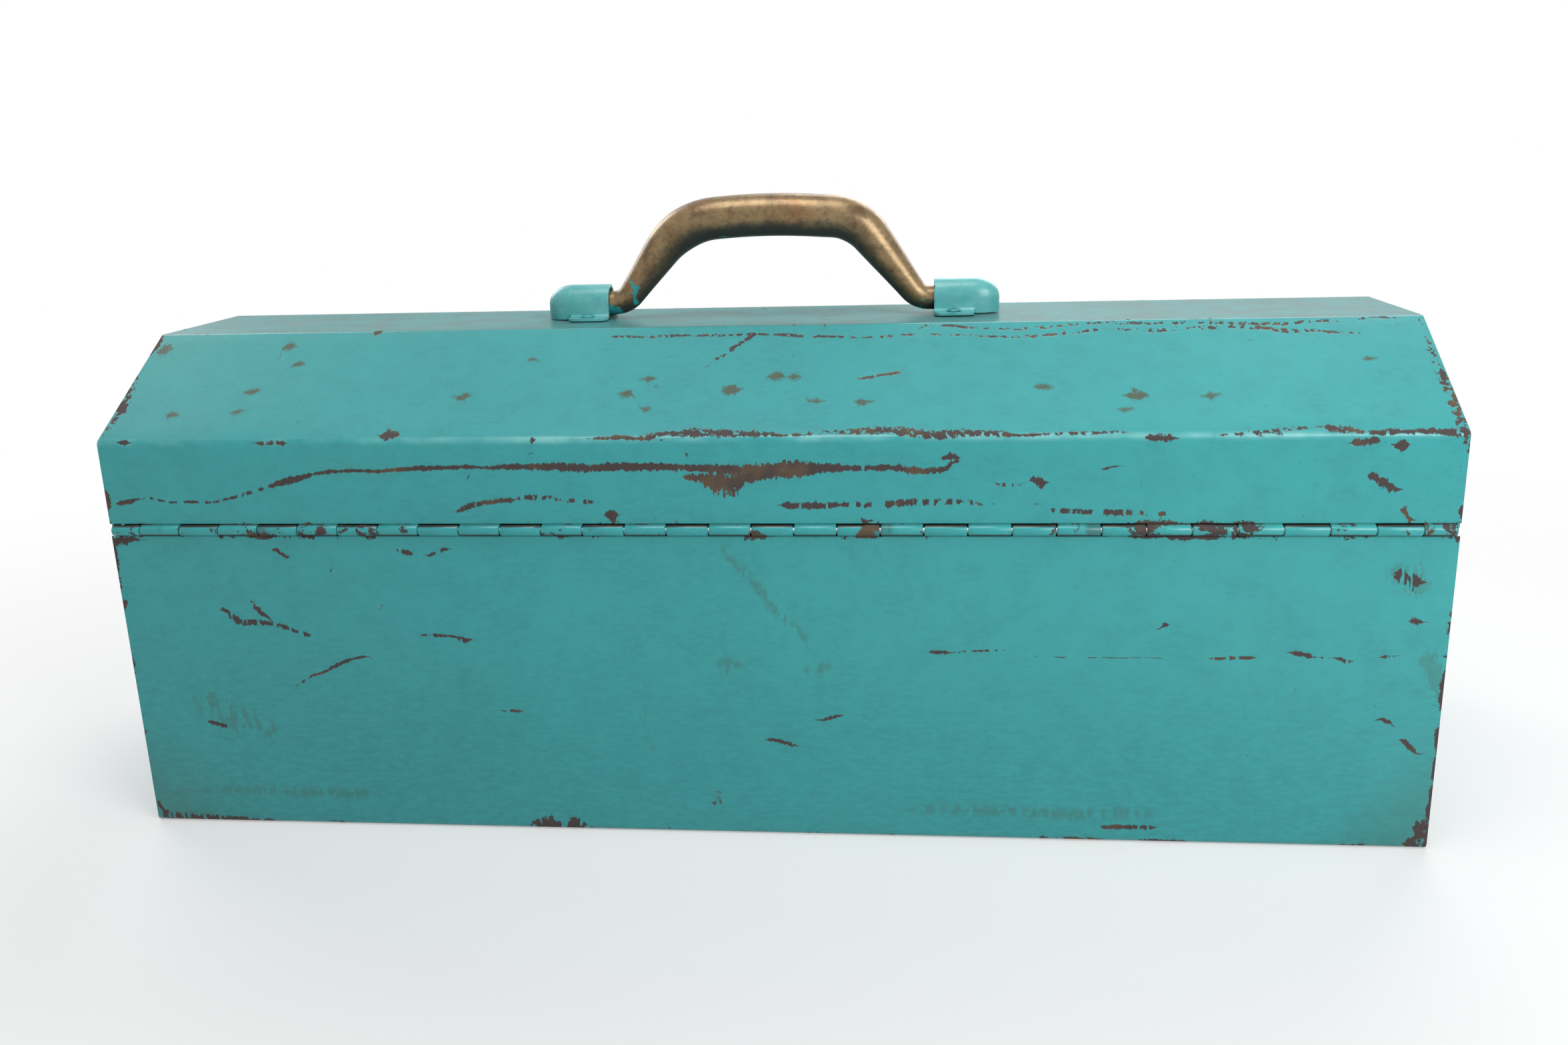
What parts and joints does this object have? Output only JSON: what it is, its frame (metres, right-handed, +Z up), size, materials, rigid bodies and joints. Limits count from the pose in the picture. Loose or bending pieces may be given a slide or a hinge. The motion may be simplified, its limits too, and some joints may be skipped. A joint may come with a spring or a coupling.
{
  "type": "toolbox with tray",
  "caption": "Hip-roof sheet-steel toolbox with a full-length piano hinge, swinging tube handle, draw latches, padlock lugs and a divided lift-out tray.",
  "frame": {"origin": "centre of the body's flat underside", "axes": "+Z up; +X along the length, to the right when the hinge side is seen; +Y from the hinge side to the latch side"},
  "size_m": [0.502, 0.1947, 0.2435],
  "materials": {
    "turquoise_paint": "glossy brushed repaint, chipped to dark brown",
    "old_enamel": "worn dark brown baked enamel",
    "handle_bronze": "worn bronze paint",
    "plated_steel": "dull worn plating"
  },
  "bodies": {
    "body": {"body_end_left": "turquoise_paint", "body_end_right": "turquoise_paint", "body_wrap": "turquoise_paint", "hinge_leaf_body": "turquoise_paint", "hinge_pin": "plated_steel", "latch_base_left": "plated_steel", "latch_base_right": "plated_steel", "latch_base_rivet_1": "turquoise_paint", "latch_base_rivet_2": "turquoise_paint", "latch_base_rivet_3": "turquoise_paint", "latch_base_rivet_4": "turquoise_paint", "latch_pin_left": "plated_steel", "latch_pin_right": "plated_steel", "lug_rivet_body_1": "turquoise_paint", "lug_rivet_body_2": "turquoise_paint", "padlock_lug_body": "turquoise_paint", "tray_ledge_left": "old_enamel", "tray_ledge_right": "old_enamel"},
    "lid": {"clip_rivet_1": "turquoise_paint", "clip_rivet_2": "turquoise_paint", "clip_rivet_3": "turquoise_paint", "clip_rivet_4": "turquoise_paint", "handle_clip_left": "turquoise_paint", "handle_clip_right": "turquoise_paint", "hinge_leaf_lid": "turquoise_paint", "latch_keeper_left": "plated_steel", "latch_keeper_right": "plated_steel", "latch_keeper_rivet_1": "turquoise_paint", "latch_keeper_rivet_2": "turquoise_paint", "latch_keeper_rivet_3": "turquoise_paint", "latch_keeper_rivet_4": "turquoise_paint", "lid_end_left": "turquoise_paint", "lid_end_right": "turquoise_paint", "lid_wrap": "turquoise_paint", "lug_rivet_lid_1": "turquoise_paint", "lug_rivet_lid_2": "turquoise_paint", "padlock_lug_lid": "turquoise_paint"},
    "tray": {"tray_divider_left": "old_enamel", "tray_divider_right": "old_enamel", "tray_end_left": "old_enamel", "tray_end_right": "old_enamel", "tray_handle": "old_enamel", "tray_handle_rivet_1": "plated_steel", "tray_handle_rivet_2": "plated_steel", "tray_tub": "old_enamel"},
    "handle": {"handle": "handle_bronze"},
    "lever_left": {"latch_lever_left": "plated_steel"},
    "bail_left": {"latch_bail_left": "plated_steel"},
    "lever_right": {"latch_lever_right": "plated_steel"},
    "bail_right": {"latch_bail_right": "plated_steel"}
  },
  "joints": [
    {"name": "lid_hinge", "type": "hinge", "parent": "body", "child": "lid", "pos_m": [0, -0.0891, 0.1247], "axis": [1, 0, 0], "range_deg": [0, 178]},
    {"name": "handle_swing", "type": "hinge", "parent": "lid", "child": "handle", "pos_m": [0, 0, 0.1995], "axis": [1, 0, 0], "range_deg": [-80, 80]},
    {"name": "tray_lift", "type": "slide", "parent": "body", "child": "tray", "axis": [0, 0, 1], "range_m": [0, 0.03]},
    {"name": "lever_left", "type": "hinge", "parent": "body", "child": "lever_left", "pos_m": [-0.159, 0.0959, 0.1077], "axis": [1, 0, 0], "range_deg": [0, 150]},
    {"name": "bail_left", "type": "hinge", "parent": "lever_left", "child": "bail_left", "pos_m": [-0.159, 0.0959, 0.1007], "axis": [-1, 0, 0], "range_deg": [-175, 0]},
    {"name": "lever_right", "type": "hinge", "parent": "body", "child": "lever_right", "pos_m": [0.159, 0.0959, 0.1077], "axis": [1, 0, 0], "range_deg": [0, 150]},
    {"name": "bail_right", "type": "hinge", "parent": "lever_right", "child": "bail_right", "pos_m": [0.159, 0.0959, 0.1007], "axis": [-1, 0, 0], "range_deg": [-175, 0]}
  ]
}
